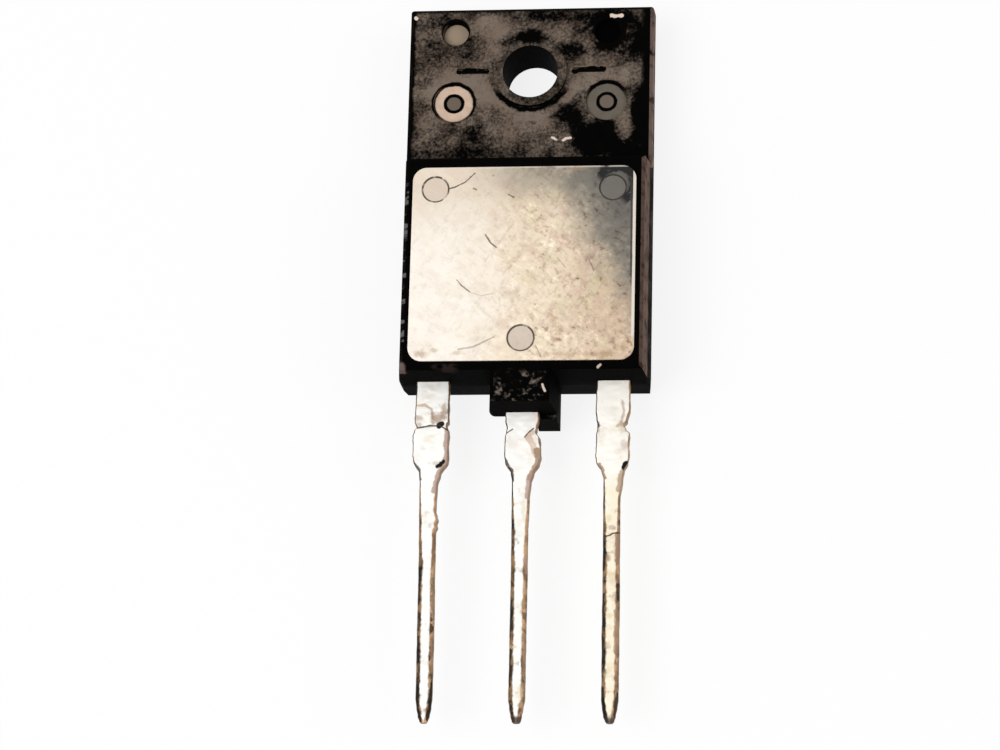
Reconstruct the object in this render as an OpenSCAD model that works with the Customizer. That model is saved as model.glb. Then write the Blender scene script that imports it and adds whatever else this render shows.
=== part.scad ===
// Power transistor in a fully moulded, screw-down, three-lead package.
// Units are millimetres. It lies on its heat-sink face, with the marked face up.
// Origin: axis of the screw hole, on the heat-sink face. X runs across the lead row,
// Y runs from the leads to the tab, and Z rises from the heat-sink face.

/* [Moulded body] */
// Width at the parting line
body_w = 15.2; // [14.6:0.1:16.0]
// Length from the tab end to the lead end, at the parting line
body_l = 24.2; // [23.4:0.1:25.0]
// Thickness of the thick section, without the marking pad
body_t = 5.5; // [5.2:0.1:6.0]
// Thickness of the tab
tab_t = 3.4; // [3.2:0.1:3.8]
// Length of the tab, up to the front edge of the thick section
tab_l = 10.6; // [10.0:0.1:11.0]
// Width of the tongue over the middle lead, at the parting line
tongue_w = 4.2; // [3.6:0.1:5.0]
// Length of the tongue beyond the lead end
tongue_l = 1.95; // [1.4:0.05:2.4]
// Width of the gate stub behind the tongue's right edge
stub_w = 1.3; // [1.0:0.05:1.6]
// Length of the gate stub beyond the lead end
stub_l = 2.2; // [1.6:0.05:2.6]
// Distance of the gate stub from the tongue's right edge
stub_inset = 0.1; // [0.06:0.02:0.3]
// Distance of the gate stub from the heat-sink face
stub_raise = 0.3; // [0.1:0.05:0.8]
// Draft of the sides in front of the parting line, in degrees
side_draft = 7; // [4:0.5:8]
// Draft of the two ends and of the step in front of the parting line, in degrees
end_draft = 3; // [1:0.5:5]
// Draft of all walls behind the parting line, in degrees
back_draft = 5; // [2:0.5:6]
// Broken edge round the front faces
front_chamfer = 0.18; // [0.1:0.02:0.3]
// Radius of the upright corners
corner_r = 0.4; // [0.2:0.05:0.6]

/* [Screw hole] */
// Diameter of the hole for the mounting screw
hole_d = 3.4; // [3.1:0.1:3.8]
// Distance from the hole axis to the tab end
hole_to_tab_end = 4.35; // [4.2:0.05:4.8]
// Width of the raised lip round the hole
lip_w = 0.55; // [0.4:0.05:0.7]
// Height of the lip above the tab
lip_h = 0.3; // [0.1:0.05:0.4]

/* [Marking pad] */
// Space between the pad and the flat front face's edges at both sides and at the lead end
pad_margin = 0.3; // [0.2:0.02:0.6]
// Space between the pad and the edge of the step
pad_to_step = 0.7; // [0.5:0.05:0.9]
// Height of the pad above the front face
pad_h = 0.1; // [0.06:0.02:0.2]
// Corner radius of the pad
pad_corner_r = 0.85; // [0.5:0.05:1.4]
// Diameter of the three ejector-pin marks in the pad
ejector_d = 1.6; // [1.2:0.1:2.0]
// Depth of the ejector-pin marks
ejector_depth = 0.05; // [0.03:0.01:0.08]
// Distance from a mark's middle to the nearest pad edges
ejector_inset = 1.4; // [1.2:0.05:1.8]

/* [Marks in the tab] */
// Diameter of the two pockets left by the mould's pins
pin_pocket_d = 1.6; // [1.2:0.1:1.8]
// Depth of the pockets
pin_pocket_depth = 0.5; // [0.3:0.05:0.8]
// Distance of the pockets from the middle plane
pin_pocket_x = 4.7; // [4.6:0.05:5.0]
// Distance of the pockets from the tab end
pin_pocket_inset = 1.65; // [1.6:0.05:1.8]
// Diameter of the two round marks beside the hole
ring_mark_d = 2.5; // [2.0:0.1:2.8]
// Depth of the round marks
ring_mark_depth = 0.15; // [0.1:0.01:0.25]
// Distance of the round marks from the middle plane
ring_mark_x = 4.7; // [4.5:0.05:5.0]
// Distance of the round marks below the hole axis
ring_mark_drop = 1.9; // [1.7:0.05:2.2]
// Outer diameter of the ring groove inside a round mark
ring_groove_d = 1.25; // [1.1:0.05:1.5]
// Width of the ring groove
ring_groove_w = 0.17; // [0.1:0.01:0.25]
// Depth of the ring groove below the round mark
ring_groove_depth = 0.1; // [0.06:0.01:0.15]
// Length of the two dash grooves beside the hole
dash_l = 1.9; // [1.5:0.05:2.1]
// Width of the dash grooves
dash_w = 0.3; // [0.2:0.02:0.4]
// Depth of the dash grooves
dash_depth = 0.12; // [0.08:0.01:0.2]
// Distance of a dash's middle from the middle plane
dash_x = 3.6; // [3.5:0.05:3.8]
// Height of the dashes above the hole axis
dash_y = 0.16; // [0:0.02:0.3]

/* [Leads] */
// Distance between neighbouring leads
lead_pitch = 5.45; // [5.25:0.05:5.6]
// Thickness of the lead stock
lead_t = 0.7; // [0.6:0.02:0.8]
// Width of the shoulder next to the body
shoulder_w = 2.0; // [1.8:0.05:2.2]
// Distance from the lead end of the body to the end of the shoulders
shoulder_l = 5.0; // [4.6:0.1:5.6]
// Length of the taper from shoulder to shank
taper_l = 0.8; // [0.5:0.05:1.2]
// Width of the shank
shank_w = 1.0; // [0.9:0.05:1.2]
// Length of the leads beyond the tongue
lead_reach = 18.8; // [16.0:0.2:20.0]
// Length of the pointed tip
tip_l = 1.4; // [1.0:0.1:2.2]
// Width of the point
tip_w = 0.55; // [0.4:0.05:0.8]
// Radius of the nicks where the tie bar was cut off
nick_r = 0.16; // [0.1:0.02:0.25]
// Distance of the nicks from the lead end of the body
nick_at = 2.9; // [2.7:0.05:3.4]

/* [Inside the moulding] */
// Plastic behind the header
back_skin = 0.6; // [0.5:0.05:0.7]
// Plastic between the header and the widest part of the sides
side_skin = 1.2; // [1.0:0.05:1.5]
// Plastic between the header and the tab end
tab_skin = 0.7; // [0.6:0.05:0.75]
// Plastic between the header and the lead end
lead_skin = 2.6; // [2.4:0.05:2.8]
// Wall of plastic between the screw hole and the header
sleeve_wall = 1.1; // [0.9:0.05:1.15]
// Thickness of the header
header_t = 1.5; // [1.3:0.05:1.6]
// Height of the leads' undersides above the header
lead_lift = 0.5; // [0.4:0.05:0.6]
// Distance along which the middle lead rises from the header
rise_run = 1.5; // [1.2:0.05:1.7]
// Width of the bonding pads of the outer leads
bond_pad_w = 3.2; // [2.8:0.1:3.6]
// Length of the bonding pads
bond_pad_l = 2.4; // [2.0:0.1:2.6]
// Shift of the bonding pads toward the middle lead
bond_pad_shift = 0.45; // [0.3:0.05:0.6]
// Depth of the bonding pads' outer edges inside the lead end
bond_pad_skin = 1.1; // [0.9:0.05:1.3]
// Side of the square silicon die
die_w = 7.0; // [6.0:0.1:7.2]
// Thickness of the die
die_t = 0.3; // [0.2:0.02:0.4]
// Width of the bevelled step round the die
mesa_step = 0.3; // [0.2:0.02:0.5]
// Distance from the die to the lead end of the header
die_to_header_end = 2.2; // [2.0:0.05:2.4]
// Thickness of the solder under the die
solder_t = 0.1; // [0.06:0.01:0.14]
// Width of the solder fillet round the die
solder_margin = 0.2; // [0.1:0.02:0.3]
// Diameter of the base wire
base_wire_d = 0.3; // [0.24:0.02:0.36]
// Diameter of the two emitter wires
emitter_wire_d = 0.4; // [0.3:0.02:0.44]
// Rise of a wire's arch above the straight line between its feet
wire_arch = 1.2; // [1.0:0.05:1.4]
// Length of a wire's flattened foot
wire_foot_l = 0.8; // [0.6:0.05:1.0]

/* [Hidden] */
$fn = 64;

// Overlap of cutters and of joined blocks, so that no two faces only touch
over = 0.2;

// Heights
header_back = back_skin;
header_front = header_back + header_t;
lead_back = header_front + lead_lift;
lead_front = lead_back + lead_t;
parting_z = lead_back;
die_back = header_front + solder_t;
die_front = die_back + die_t;

// Places along Y
tab_end = hole_to_tab_end;
lead_end = tab_end - body_l;
step_y = tab_end - tab_l;
tongue_end = lead_end - tongue_l;
lead_tip = tongue_end - lead_reach;
shoulder_end = lead_end - shoulder_l;
nick_y = lead_end - nick_at;
step_base = step_y + (body_t - front_chamfer - tab_t) * tan(end_draft);
pad_top = step_y - pad_to_step;
pad_end = lead_end + (body_t - parting_z) * tan(end_draft) + front_chamfer + pad_margin;
header_end = lead_end + lead_skin;
die_y = header_end + die_to_header_end + die_w / 2;
bond_pad_y = lead_end + bond_pad_skin + bond_pad_l / 2;
bond_pad_x = lead_pitch - bond_pad_shift;

// Sizes of the marking pad
pad_l = pad_top - pad_end;
pad_w = body_w - 2 * ((body_t - parting_z) * tan(side_draft) + front_chamfer + pad_margin);

// Feet of the wires on the die and on the bonding pads
mesa_w = die_w - 2 * mesa_step;
die_feet_y = die_y - mesa_w / 4;
base_foot_x = mesa_w / 3;
inner_foot_x = mesa_w / 6;
outer_foot_x = mesa_w / 2.7;
pad_feet_y = bond_pad_y + bond_pad_l / 6;
pad_foot_step = bond_pad_w / 5;

// One wall of a drafted outline, from the back to the front: at is where it stands at the
// parting line, and out is 1 or -1 for the way it faces
function drafted_wall(at, out, draft, front) = [
    [at - out * parting_z * tan(back_draft), 0],
    [at, parting_z],
    [at - out * (front - front_chamfer - parting_z) * tan(draft), front - front_chamfer],
    [at - out * ((front - parting_z) * tan(draft) + front_chamfer), front]];

function backwards(points) = [for (i = [len(points) - 1 : -1 : 0]) points[i]];

// Outline of a section across the body
function cross_outline(w, front) = concat(
    drafted_wall(w / 2, 1, side_draft, front),
    backwards(drafted_wall(-w / 2, -1, side_draft, front)));

// Outline of a section along the body, with the step from the tab up to the thick section
function stepped_outline() = concat(
    drafted_wall(tab_end, 1, end_draft, tab_t),
    [[step_base, tab_t], [step_y, body_t - front_chamfer], [step_y - front_chamfer, body_t]],
    backwards(drafted_wall(lead_end, -1, end_draft, body_t)));

// Outline of a section along the tongue, which stands in front of the parting line only and
// runs into the body
function tongue_outline() = concat(
    [[lead_end + tongue_l, parting_z], [lead_end + tongue_l, body_t]],
    [for (i = [3, 2, 1]) drafted_wall(tongue_end, -1, end_draft, body_t)[i]]);

// Rectangle with rounded corners
module rounded_rectangle(w, l, r) {
    square([w - 2 * r, l], center = true);
    square([w, l - 2 * r], center = true);
    for (x = [-1, 1], y = [-1, 1])
        translate([x * (w / 2 - r), y * (l / 2 - r)])
            circle(r);
}

// Block that has all three outlines: in plan, across and along
module drafted_block(w, y_low, y_high, along) {
    intersection() {
        translate([0, (y_low + y_high) / 2, 0])
            linear_extrude(body_t)
                rounded_rectangle(w, y_high - y_low, corner_r);
        translate([0, y_high + over, 0])
            rotate([90, 0, 0])
                linear_extrude(y_high - y_low + 2 * over)
                    polygon(cross_outline(w, body_t));
        translate([-w / 2 - over, 0, 0])
            rotate([90, 0, 90])
                linear_extrude(w + 2 * over)
                    polygon(along);
    }
}

// Cutter for the broken edge along one side of the tab; side is -1 or 1
module tab_edge_cutter(side) {
    wall_x = body_w / 2 - (tab_t - front_chamfer - parting_z) * tan(side_draft);
    face_x = body_w / 2 - (tab_t - parting_z) * tan(side_draft) - front_chamfer;
    translate([0, tab_end + over, 0])
        rotate([90, 0, 0])
            linear_extrude(tab_end + over - step_base)
                polygon([
                    [side * wall_x, tab_t - front_chamfer],
                    [side * (wall_x + over), tab_t - front_chamfer],
                    [side * (wall_x + over), tab_t + over],
                    [side * face_x, tab_t + over],
                    [side * face_x, tab_t]]);
}

module body_outside() {
    difference() {
        drafted_block(body_w, lead_end, tab_end, stepped_outline());
        tab_edge_cutter(-1);
        tab_edge_cutter(1);
    }
    drafted_block(tongue_w, tongue_end, lead_end + tongue_l, tongue_outline());
    translate([tongue_w / 2 - stub_inset - stub_w, lead_end - stub_l, stub_raise])
        cube([stub_w, stub_l + parting_z * tan(back_draft) + over, parting_z + over - stub_raise]);
    translate([0, (pad_top + pad_end) / 2, body_t - over])
        linear_extrude(pad_h + over)
            rounded_rectangle(pad_w, pad_l, pad_corner_r);
    translate([0, 0, tab_t - over])
        cylinder(d = hole_d + 2 * lip_w, h = lip_h + over);
}

module body_marks() {
    // Screw hole
    translate([0, 0, -over])
        cylinder(d = hole_d, h = tab_t + lip_h + 2 * over);
    // Ejector-pin marks in the pad: two at the step and one at the lead end
    ejector_x = pad_w / 2 - ejector_inset;
    ejector_tops = pad_top - ejector_inset;
    for (spot = [[-ejector_x, ejector_tops], [ejector_x, ejector_tops], [0, pad_end + ejector_inset]])
        translate([spot[0], spot[1], body_t + pad_h - ejector_depth])
            cylinder(d = ejector_d, h = ejector_depth + over);
    for (x = [-1, 1]) {
        // Pin pocket near the tab end
        translate([x * pin_pocket_x, tab_end - pin_pocket_inset, tab_t - pin_pocket_depth])
            cylinder(d = pin_pocket_d, h = pin_pocket_depth + over);
        // Round mark with its ring groove
        translate([x * ring_mark_x, -ring_mark_drop, tab_t - ring_mark_depth]) {
            cylinder(d = ring_mark_d, h = ring_mark_depth + over);
            translate([0, 0, -ring_groove_depth])
                difference() {
                    cylinder(d = ring_groove_d, h = ring_groove_depth + over);
                    translate([0, 0, -over])
                        cylinder(d = ring_groove_d - 2 * ring_groove_w, h = ring_groove_depth + 3 * over);
                }
        }
        // Dash groove
        translate([x * dash_x - dash_l / 2, dash_y - dash_w / 2, tab_t - dash_depth])
            cube([dash_l, dash_w, dash_depth + over]);
    }
}

// Epoxy moulding in one piece, with a bed for each piece that it holds
module moulded_body() {
    color([0.12, 0.11, 0.10])
        difference() {
            body_outside();
            body_marks();
            collector_header();
            base_lead();
            emitter_lead();
            die_solder();
            silicon_die();
            base_wire();
            emitter_wire_inner();
            emitter_wire_outer();
        }
}

// Outline of a lead outside the body, from y_start to the tip
module lead_outline(y_start) {
    difference() {
        polygon([
            [-shoulder_w / 2, y_start],
            [-shoulder_w / 2, shoulder_end],
            [-shank_w / 2, shoulder_end - taper_l],
            [-shank_w / 2, lead_tip + tip_l],
            [-tip_w / 2, lead_tip],
            [tip_w / 2, lead_tip],
            [shank_w / 2, lead_tip + tip_l],
            [shank_w / 2, shoulder_end - taper_l],
            [shoulder_w / 2, shoulder_end],
            [shoulder_w / 2, y_start]]);
        for (x = [-1, 1])
            translate([x * shoulder_w / 2, nick_y])
                circle(nick_r);
    }
}

// Header plate with the middle lead, one piece of stepped copper strip
module collector_header() {
    rise_angle = atan2(lead_front - header_front, rise_run);
    miter = lead_t * tan(rise_angle / 2);
    rise_start = header_end - miter;
    color([0.78, 0.76, 0.72]) {
        difference() {
            translate([side_skin - body_w / 2, header_end, header_back])
                cube([body_w - 2 * side_skin, tab_end - tab_skin - header_end, header_t]);
            translate([0, 0, header_back - over])
                cylinder(d = hole_d + 2 * sleeve_wall, h = header_t + 2 * over);
        }
        intersection() {
            translate([0, 0, header_back])
                linear_extrude(lead_front - header_back + over)
                    lead_outline(header_end + over);
            translate([-shoulder_w, 0, 0])
                rotate([90, 0, 90])
                    linear_extrude(2 * shoulder_w)
                        polygon([
                            [header_end + over, header_front],
                            [rise_start, header_front],
                            [rise_start - rise_run, lead_front],
                            [lead_tip, lead_front],
                            [lead_tip, lead_back],
                            [rise_start - rise_run - miter, lead_back],
                            [rise_start - miter, header_front - lead_t],
                            [header_end + over, header_front - lead_t]]);
        }
    }
}

// Outer lead with its bonding pad inside the moulding; side is -1 or 1
module outer_lead(side) {
    translate([0, 0, lead_back])
        linear_extrude(lead_t) {
            translate([side * lead_pitch, 0])
                lead_outline(bond_pad_y);
            translate([side * bond_pad_x, bond_pad_y])
                square([bond_pad_w, bond_pad_l], center = true);
        }
}

module base_lead() {
    color([0.78, 0.76, 0.72])
        outer_lead(-1);
}

module emitter_lead() {
    color([0.78, 0.76, 0.72])
        outer_lead(1);
}

// Layer of solder between the die and the header
module die_solder() {
    color([0.6, 0.6, 0.62])
        translate([0, die_y, header_front + solder_t / 2])
            cube([die_w + 2 * solder_margin, die_w + 2 * solder_margin, solder_t], center = true);
}

// Die with a stepped edge
module silicon_die() {
    color([0.35, 0.36, 0.4]) {
        translate([0, die_y, die_back + die_t / 4])
            cube([die_w, die_w, die_t / 2], center = true);
        translate([0, die_y, die_back + die_t / 2])
            cube([mesa_w, mesa_w, die_t], center = true);
    }
}

// Bond wire from foot a on the die to foot b on a bonding pad: an arch with two flattened feet
module bond_wire(a, b, d) {
    run = norm([b[0] - a[0], b[1] - a[1]]);
    rise = b[2] - a[2];
    chord = norm([run, rise]);
    arch_r = (chord * chord / 4 + wire_arch * wire_arch) / (2 * wire_arch);
    half_angle = asin(chord / 2 / arch_r);
    // The arch goes on a little into the surfaces, where it is cut off level
    sink_angle = asin(d / 2 / arch_r);
    heading = atan2(b[1] - a[1], b[0] - a[0]);
    difference() {
        translate(a)
            rotate([0, 0, heading])
                rotate([90, 0, 0])
                    rotate([0, 0, atan2(rise, run)])
                        translate([chord / 2, wire_arch - arch_r, 0])
                            rotate([0, 0, 90 - half_angle - sink_angle])
                                rotate_extrude(angle = 2 * (half_angle + sink_angle))
                                    translate([arch_r, 0])
                                        circle(d = d, $fn = 32);
        for (end = [a, b])
            translate(end - [2 * d, 2 * d, 2 * d])
                cube([4 * d, 4 * d, 2 * d]);
    }
    for (end = [a, b])
        translate(end)
            rotate([0, 0, heading])
                translate([-wire_foot_l / 2, -0.6 * d, 0])
                    cube([wire_foot_l, 1.2 * d, 0.4 * d]);
}

module base_wire() {
    color([0.8, 0.8, 0.8])
        bond_wire([-base_foot_x, die_feet_y, die_front],
            [-bond_pad_x, pad_feet_y, lead_front], base_wire_d);
}

module emitter_wire_inner() {
    color([0.8, 0.8, 0.8])
        bond_wire([inner_foot_x, die_feet_y, die_front],
            [bond_pad_x - pad_foot_step, pad_feet_y, lead_front], emitter_wire_d);
}

module emitter_wire_outer() {
    color([0.8, 0.8, 0.8])
        bond_wire([outer_foot_x, die_feet_y, die_front],
            [bond_pad_x + pad_foot_step, pad_feet_y, lead_front], emitter_wire_d);
}

moulded_body();
collector_header();
base_lead();
emitter_lead();
die_solder();
silicon_die();
base_wire();
emitter_wire_inner();
emitter_wire_outer();
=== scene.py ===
import math

import bmesh
import bpy
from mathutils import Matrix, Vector, noise


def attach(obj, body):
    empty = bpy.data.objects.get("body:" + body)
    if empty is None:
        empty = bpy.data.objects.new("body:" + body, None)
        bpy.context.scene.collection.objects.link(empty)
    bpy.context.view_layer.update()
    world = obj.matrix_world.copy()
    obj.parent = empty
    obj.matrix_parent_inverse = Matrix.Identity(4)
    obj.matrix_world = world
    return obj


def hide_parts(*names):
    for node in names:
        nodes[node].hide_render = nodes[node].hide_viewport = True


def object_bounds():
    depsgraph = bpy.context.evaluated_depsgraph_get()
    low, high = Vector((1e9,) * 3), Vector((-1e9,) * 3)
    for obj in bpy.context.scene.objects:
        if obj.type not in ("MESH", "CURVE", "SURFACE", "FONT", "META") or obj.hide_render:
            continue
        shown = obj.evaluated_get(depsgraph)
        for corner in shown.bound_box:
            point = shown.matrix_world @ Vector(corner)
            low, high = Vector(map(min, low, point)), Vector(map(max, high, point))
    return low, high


MM = 0.001

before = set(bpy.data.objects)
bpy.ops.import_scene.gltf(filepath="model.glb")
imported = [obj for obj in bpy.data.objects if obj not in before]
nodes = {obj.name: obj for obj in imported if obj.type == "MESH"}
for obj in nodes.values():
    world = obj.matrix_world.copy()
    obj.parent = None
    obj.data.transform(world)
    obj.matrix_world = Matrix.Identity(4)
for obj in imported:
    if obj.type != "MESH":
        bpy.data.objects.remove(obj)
cad_low, cad_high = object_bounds()


def in_mm(length):
    """A length of the frame in mm, without the error of its single precision."""
    return round(length / MM, 4)


# Ends of the part and heights of the leads from the frame, in mm in the row frame
lead_heights = [vertex.co.z for vertex in nodes["base_lead"].data.vertices]
TAB_END, PAD_Z, LEAD_TIP = in_mm(cad_high[1]), in_mm(cad_high[2]), in_mm(cad_low[1])
LEAD_BACK, LEAD_FRONT = in_mm(min(lead_heights)), in_mm(max(lead_heights))

# Other places on the part, in mm in the row frame
STEP_Y, LEAD_END, FRONT_Z = -6.25, -19.85, 5.5
PAD_LOW, PAD_HIGH = -19.21, -6.95
LEAD_PITCH = 5.45
LEAD_X = {"base_lead": -LEAD_PITCH, "collector_header": 0.0, "emitter_lead": LEAD_PITCH}
LIP_R, LIP_LOW, LIP_HIGH = 2.25, 3.5, 3.6
POCKET_X, POCKET_Y, POCKET_R = 4.7, 2.7, 0.8
MARK_X, MARK_Y, MARK_R, GROOVE_R = 4.7, -1.9, 1.25, 0.54
EJECTOR_R = 0.8

# Sockets of the Mix node when it mixes colours
MIX_FACTOR, MIX_A, MIX_B, MIX_RESULT = 0, 6, 7, 2


class Graph:
    """A material whose nodes are made by short calls. Coordinates are in mm in the row frame."""

    def __init__(self, name):
        self.material = bpy.data.materials.new(name)
        self.material.use_nodes = True
        self.tree = self.material.node_tree
        self.tree.nodes.clear()
        self.shader = self.add("ShaderNodeBsdfPrincipled")
        self.out = self.add("ShaderNodeOutputMaterial")
        self.tree.links.new(self.shader.outputs[0], self.out.inputs["Surface"])
        coord = self.add("ShaderNodeTexCoord")
        scaled = self.add("ShaderNodeVectorMath", "SCALE")
        self.tree.links.new(coord.outputs["Object"], scaled.inputs[0])
        scaled.inputs["Scale"].default_value = 1 / MM
        self.place = scaled.outputs[0]
        self.x, self.y, self.z = self.split(self.place)
        self.nx, _, self.nz = self.split(coord.outputs["Normal"])

    def add(self, kind, operation=None):
        node = self.tree.nodes.new(kind)
        if operation:
            node.operation = operation
        return node

    def put(self, socket, value):
        if isinstance(value, bpy.types.NodeSocket):
            self.tree.links.new(value, socket)
        elif socket.type == "RGBA":
            socket.default_value = (*value, 1.0)
        else:
            socket.default_value = value

    def split(self, vector):
        node = self.add("ShaderNodeSeparateXYZ")
        self.put(node.inputs[0], vector)
        return node.outputs[0], node.outputs[1], node.outputs[2]

    def calc(self, operation, *values, clamp=False):
        node = self.add("ShaderNodeMath", operation)
        node.use_clamp = clamp
        for socket, value in zip(node.inputs, values):
            self.put(socket, value)
        return node.outputs[0]

    def chain(self, operation, values):
        """The values joined one after another by an operation."""
        result = values[0]
        for value in values[1:]:
            result = self.calc(operation, result, value)
        return result

    def times(self, *values):
        return self.chain("MULTIPLY", values)

    def plus(self, *values):
        return self.chain("ADD", values)

    def most(self, *values):
        return self.chain("MAXIMUM", values)

    def minus(self, a, b):
        return self.calc("SUBTRACT", a, b)

    def size(self, value):
        return self.calc("ABSOLUTE", value)

    def smooth(self, value, low, high):
        """0 at low and 1 at high, also where low is the larger one."""
        node = self.add("ShaderNodeMapRange")
        node.interpolation_type = "SMOOTHSTEP"
        rising = low < high
        self.put(node.inputs["Value"], value)
        node.inputs["From Min"].default_value = low if rising else high
        node.inputs["From Max"].default_value = high if rising else low
        node.inputs["To Min"].default_value = 0.0 if rising else 1.0
        node.inputs["To Max"].default_value = 1.0 if rising else 0.0
        return node.outputs[0]

    def moved(self, offset=(0, 0, 0), turn=0.0, stretch=(1, 1, 1)):
        """The coordinates turned about Z by turn degrees, then stretched, then moved."""
        node = self.add("ShaderNodeVectorRotate")
        node.rotation_type = "Z_AXIS"
        self.put(node.inputs["Vector"], self.place)
        node.inputs["Angle"].default_value = math.radians(turn)
        scaled = self.add("ShaderNodeVectorMath", "MULTIPLY_ADD")
        self.put(scaled.inputs[0], node.outputs[0])
        scaled.inputs[1].default_value = stretch
        scaled.inputs[2].default_value = offset
        return scaled.outputs[0]

    def noise(self, per_mm, detail=4.0, rough=0.55, at=None):
        node = self.add("ShaderNodeTexNoise")
        self.put(node.inputs["Vector"], at or self.place)
        node.inputs["Scale"].default_value = per_mm
        node.inputs["Detail"].default_value = detail
        node.inputs["Roughness"].default_value = rough
        return node.outputs[0]

    def wobble(self, per_mm, size, detail=4.0):
        """Noise about 0."""
        return self.times(self.minus(self.noise(per_mm, detail), 0.5), size)

    def mix(self, factor, a, b, blend="MIX"):
        node = self.add("ShaderNodeMix")
        node.data_type = "RGBA"
        node.blend_type = blend
        self.put(node.inputs[MIX_FACTOR], factor)
        self.put(node.inputs[MIX_A], a)
        self.put(node.inputs[MIX_B], b)
        return node.outputs[MIX_RESULT]

    def shaded(self, colour, level):
        """A colour times a level or a second colour."""
        return self.mix(1.0, colour, level, "MULTIPLY")

    def length(self, dx, dy):
        return self.calc("SQRT", self.calc("MULTIPLY_ADD", dx, dx, self.times(dy, dy)))

    def away(self, x, y, wide=1.0, high=1.0):
        """Distance from a spot in XY, where wide and high are the lengths that count as 1."""
        dx = self.calc("DIVIDE", self.minus(self.x, x), wide)
        dy = self.calc("DIVIDE", self.minus(self.y, y), high)
        return self.length(dx, dy)

    def spot(self, x, y, wide, high, wander=0.0, core=0.6):
        """1 inside an oval, with an uneven edge."""
        return self.smooth(self.plus(self.away(x, y, wide, high), wander), 1.1, core)

    def ring(self, x, y, radius, half_width, soft, wander=0.0):
        """1 on a circle's line."""
        off = self.size(self.minus(self.plus(self.away(x, y), wander), radius))
        return self.smooth(off, half_width + soft, half_width)

    def line(self, points, half_width, wander=0.0, soft=0.04):
        """1 along a line of points in XY."""
        near = None
        for (ax, ay), (bx, by) in zip(points, points[1:]):
            dx, dy = bx - ax, by - ay
            square = dx * dx + dy * dy
            px, py = self.minus(self.x, ax), self.minus(self.y, ay)
            along = self.times(py, dy / square)
            along = self.calc("MULTIPLY_ADD", px, dx / square, along, clamp=True)
            ex = self.calc("MULTIPLY_ADD", along, -dx, px)
            ey = self.calc("MULTIPLY_ADD", along, -dy, py)
            far = self.length(ex, ey)
            near = far if near is None else self.calc("MINIMUM", near, far)
        return self.smooth(self.plus(near, wander), half_width + soft, half_width)

    def bump(self, height, strength, reach):
        node = self.add("ShaderNodeBump")
        node.inputs["Strength"].default_value = strength
        node.inputs["Distance"].default_value = reach * MM
        self.put(node.inputs["Height"], height)
        self.put(self.shader.inputs["Normal"], node.outputs[0])

    def finish(self, colour, roughness, metallic=0.0, specular=0.5):
        self.put(self.shader.inputs["Base Color"], colour)
        self.put(self.shader.inputs["Roughness"], roughness)
        self.put(self.shader.inputs["Metallic"], metallic)
        self.shader.inputs["Specular IOR Level"].default_value = specular
        return self.material


# Colours of the black compound and of what lies on it; the pale wall band is dusty film with painted light
# on it, the edge glint a painted highlight, and the lit corner painted light
COMPOUND_DEEP, COMPOUND_PALE = (0.0006, 0.0006, 0.0006), (0.0026, 0.0022, 0.0020)
FILM_DARK, FILM_PALE = (0.168, 0.124, 0.094), (0.200, 0.157, 0.124)
MARK_CORE, CHIP = (0.150, 0.118, 0.094), (0.74, 0.60, 0.51)
DUST_AND_LIGHT_BODY, DUST_AND_LIGHT_TAB, DUST_AND_LIGHT_THIN = (0.175, 0.116, 0.092), (0.270, 0.188, 0.155), (0.090, 0.063, 0.050)
EDGE_GLINT, LIT_CORNER = (0.15, 0.145, 0.143), (0.150, 0.112, 0.095)
FRONT_FLECK, FRONT_DIRT = (0.55, 0.45, 0.38), (0.040, 0.027, 0.023)
TONGUE_FLECK, TONGUE_STREAK = (0.200, 0.165, 0.135), (0.62, 0.53, 0.46)

# Dark and bright patches in the film on the tab, brighter on the left and darker on the right as painted
# light and shade: middle, half width, half height, strength
TAB_PATCHES = (
    (5.0, 2.75, 2.1, 1.7, -0.9), (3.9, -4.3, 1.9, 1.7, -0.8), (6.95, -2.7, 0.9, 2.8, -1.0),
    (2.3, -2.6, 1.0, 0.8, -0.6), (2.6, 1.35, 1.0, 0.7, -0.5), (0.0, 2.3, 1.2, 0.6, -0.7),
    (-4.9, 1.6, 2.8, 0.9, -0.22), (-5.2, 3.2, 1.9, 1.0, -0.12), (-3.5, -5.3, 4.2, 0.7, -0.22),
    (-3.6, -3.9, 1.2, 0.8, -0.2), (1.5, 3.8, 2.6, 0.5, -0.25), (6.8, 2.0, 0.7, 2.0, -0.5),
    (6.3, -5.2, 1.6, 1.0, -0.9), (-6.6, -0.6, 0.7, 0.5, -0.35),
    (-2.4, 3.0, 1.6, 1.1, 0.5), (-4.4, -1.05, 3.0, 2.0, 0.62), (-2.2, 1.5, 0.8, 1.1, 0.3),
    (4.0, -0.2, 2.7, 1.1, 0.34), (0.0, -3.2, 2.1, 0.8, 0.3), (-6.0, -3.2, 1.4, 1.0, 0.34),
    (-1.8, -3.9, 1.4, 0.6, 0.25), (5.8, -3.3, 0.6, 1.2, 0.4),
)

# Pin pocket and round mark on each side of the tab: side, colour of the pocket's floor and of the mark's,
# and the place in Y above which painted shade lies in the mark's rim
TAB_MARKS = (
    (-1, (0.34, 0.260, 0.190), (0.620, 0.460, 0.350), -3.5),
    (1, (0.001, 0.001, 0.001), (0.142, 0.121, 0.097), -1.9),
)

# Painted shade in the dash-shaped groove on the right of the hole, which the left one mirrors
DASH = ((2.7, 0.12), (3.5, 0.2), (4.5, 0.17))
DASH_HALF_WIDTH = 0.14

# Pale film, and black crescent below the lip that is its painted shadow: radius, half width, softness
HALO = (2.85, 0.15, 0.25)
LIP_SHADOW_RING = (2.38, 0.11, 0.12)

# Pale chips, one at the top right, two above the step and one in the left edge: points, half width
CHIPS = (
    (((4.90, 3.72), (5.20, 3.68), (5.58, 3.71)), 0.085),
    (((1.40, -4.26), (1.70, -4.40)), 0.045),
    (((2.10, -4.44), (2.28, -4.33), (2.55, -4.30)), 0.05),
    (((-7.25, 3.80), (-7.19, 3.74)), 0.07),
)

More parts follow.
